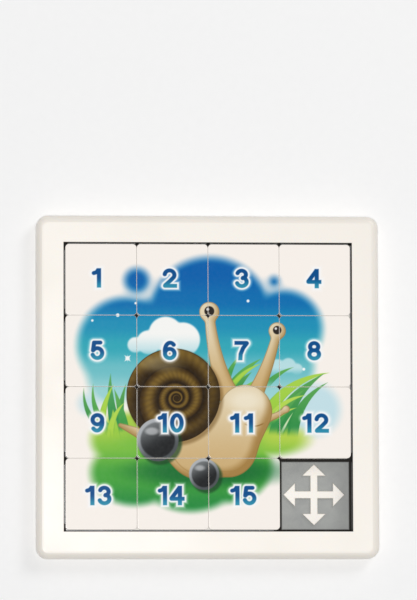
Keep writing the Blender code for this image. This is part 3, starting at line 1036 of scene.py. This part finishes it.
# %% [markdown]
# The frame and the base plate
#
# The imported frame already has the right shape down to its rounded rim, its chamfered opening
# and the undercuts that hold the tongues, so it stays and only gets its plastic. So does the
# base plate, with the sunk floor of the empty cell.

# %% Frame and base plate


def refinish(node, material):
    """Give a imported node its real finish."""
    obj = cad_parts[node]
    obj.data.materials.clear()
    obj.data.materials.append(material)


refinish("frame", FRAME_ABS)
refinish("base_plate", FLOOR_PLASTIC)
print("refinished: frame, base_plate")

# %% [markdown]
# The raised mark
#
# On the floor of the empty cell stands a mark in the frame's ivory: four arrows, one for each
# way that a tile can slide. Its top is level with the floor round it, so a tile passes over
# it. The outline is one arrow repeated by a quarter turn, raised, and softened all round its
# upper edge as a moulded relief is.

# %% Raised mark
mark_low, mark_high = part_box("floor_mark")
MARK_REACH = (mark_high.x - mark_low.x) / 2
MARK_STROKE = 2.6 * MM
HEAD_LENGTH = 4.2 * MM
HEAD_WIDTH = 8.6 * MM
MARK_THICKNESS = 0.7 * MM
MARK_ROUND = 0.28 * MM


def make_mark():
    """Four arrows with softened upper edges."""
    half = MARK_STROKE / 2
    neck = MARK_REACH - HEAD_LENGTH
    arm = (
        (half, -half), (neck, -half), (neck, -HEAD_WIDTH / 2),
        (MARK_REACH, 0.0), (neck, HEAD_WIDTH / 2), (neck, half),
    )
    bm = bmesh.new()
    corners = []
    for quarter in range(4):
        turn = Matrix.Rotation(quarter * math.pi / 2, 3, "Z")
        corners += [bm.verts.new(turn @ Vector((x, y, 0.0))) for x, y in arm]
    face = bm.faces.new(corners)
    raised = bmesh.ops.extrude_face_region(bm, geom=[face])
    lifted = [v for v in raised["geom"] if isinstance(v, bmesh.types.BMVert)]
    bmesh.ops.translate(bm, verts=lifted, vec=(0.0, 0.0, MARK_THICKNESS))
    upper = [e for e in bm.edges if all(v.co.z > MARK_THICKNESS / 2 for v in e.verts)]
    bevel(bm, upper, MARK_ROUND, 4)
    middle = (mark_low + mark_high) / 2
    place = Vector((middle.x, middle.y, mark_high.z - MARK_THICKNESS))
    bmesh.ops.translate(bm, verts=bm.verts, vec=place)
    return make_object("floor_mark_moulding", bm)


mark = make_mark()
dress(mark, FRAME_ABS, "tray", "floor_mark")
print("mark:", len(mark.data.polygons), "faces")

# %% [markdown]
# The table
#
# The puzzle lies on pale matt card, wide enough to fill every view.

# %% Table
TABLE_SIZE = 3.0


def make_table():
    """A wide flat table top."""
    material, tree, shader = new_material("matt_white_card")
    shader.inputs["Roughness"].default_value = 0.9
    place = add_node(tree, "ShaderNodeTexCoord")
    fibre = add_node(
        tree, "ShaderNodeTexNoise", {"Scale": 1 / (3 * MM), "Detail": 3.0},
        {"Vector": place.outputs["Object"]},
    )
    tint = add_node(tree, "ShaderNodeMix", {"data_type": "RGBA"})
    tint.inputs[6].default_value = colour("#FDFDFD")
    tint.inputs[7].default_value = colour("#FAFAFA")
    tree.links.new(fibre.outputs["Fac"], tint.inputs["Factor"])
    tree.links.new(tint.outputs[2], shader.inputs["Base Color"])
    bm = bmesh.new()
    bmesh.ops.create_grid(bm, x_segments=2, y_segments=2, size=TABLE_SIZE / 2)
    top = make_object("table_top", bm)
    top.data.materials.append(material)


make_table()
print("table:", TABLE_SIZE, "m wide")

# %% [markdown]
# The camera
#
# The camera looks down through a long lens, and leans a few degrees to the lower left, so that
# it just sees the frame's two shaded sides. A tall picture is as high as its sensor is wide,
# which gives the lens its length from the height of the view.

# %% Camera
VIEW_CENTRE = Vector((0.17 * MM, 30.4 * MM, TILE_TOP))
VIEW_HEIGHT = 209.9 * MM
CAMERA_DISTANCE = 2.0
LEAN = math.tan(math.radians(4.5))
CAMERA_BACK = Vector((-LEAN, -LEAN, 1.0)).normalized()
SENSOR = 36.0


def make_camera():
    """A camera nearly straight above, framed by the size of its view at the puzzle's face."""
    data = bpy.data.cameras.new("camera")
    data.sensor_width = SENSOR
    data.lens = SENSOR * CAMERA_DISTANCE / VIEW_HEIGHT
    obj = bpy.data.objects.new("camera", data)
    back = CAMERA_BACK
    right = Vector((1.0, 0.0, 0.0)) - back * back.x
    # A slight roll shares the skew of a lean to two sides equally between the frame's edges.
    right = (Matrix.Rotation(back.x * back.y / 2, 3, back) @ right).normalized()
    turn = Matrix((right, back.cross(right), back)).transposed().to_4x4()
    obj.matrix_world = Matrix.Translation(VIEW_CENTRE + back * CAMERA_DISTANCE) @ turn
    bpy.context.scene.collection.objects.link(obj)
    bpy.context.scene.camera = obj

make_camera()
print("camera:", CAMERA_DISTANCE, "m away")

# %% [markdown]
# Light
#
# A softbox stands to the upper right, so that the rims turn gently darker towards the table on
# the other two sides. A strong dish, far back beside the camera's line of sight, lights the
# faces evenly, and a pale room fills the shade.

# %% Light
ROOM_STRENGTH = 0.26
SOFTBOX_PLACE = (0.95, 1.00, 1.3)
DISH_PLACE = VIEW_CENTRE + CAMERA_BACK * 4.5


def make_light(name, place, size, power):
    """A square soft light that faces the middle of the puzzle."""
    lamp = bpy.data.lights.new(name, "AREA")
    lamp.shape = "SQUARE"
    lamp.size = size
    lamp.energy = power
    obj = bpy.data.objects.new(name, lamp)
    obj.location = place
    obj.rotation_euler = (-Vector(place)).to_track_quat("-Z", "Y").to_euler()
    bpy.context.scene.collection.objects.link(obj)


def make_room(strength):
    """An even pale surround."""
    world = bpy.data.worlds.new("pale_room")
    world.use_nodes = True
    background = world.node_tree.nodes["Background"]
    background.inputs["Color"].default_value = (1.0, 1.0, 1.0, 1.0)
    background.inputs["Strength"].default_value = strength
    bpy.context.scene.world = world


make_room(ROOM_STRENGTH)
make_light("upper_right_softbox", SOFTBOX_PLACE, 0.7, 6.5)
make_light("dish_by_the_camera", DISH_PLACE, 0.65, 110.0)
bpy.context.scene.view_settings.view_transform = "Standard"
print("lights:", 2)
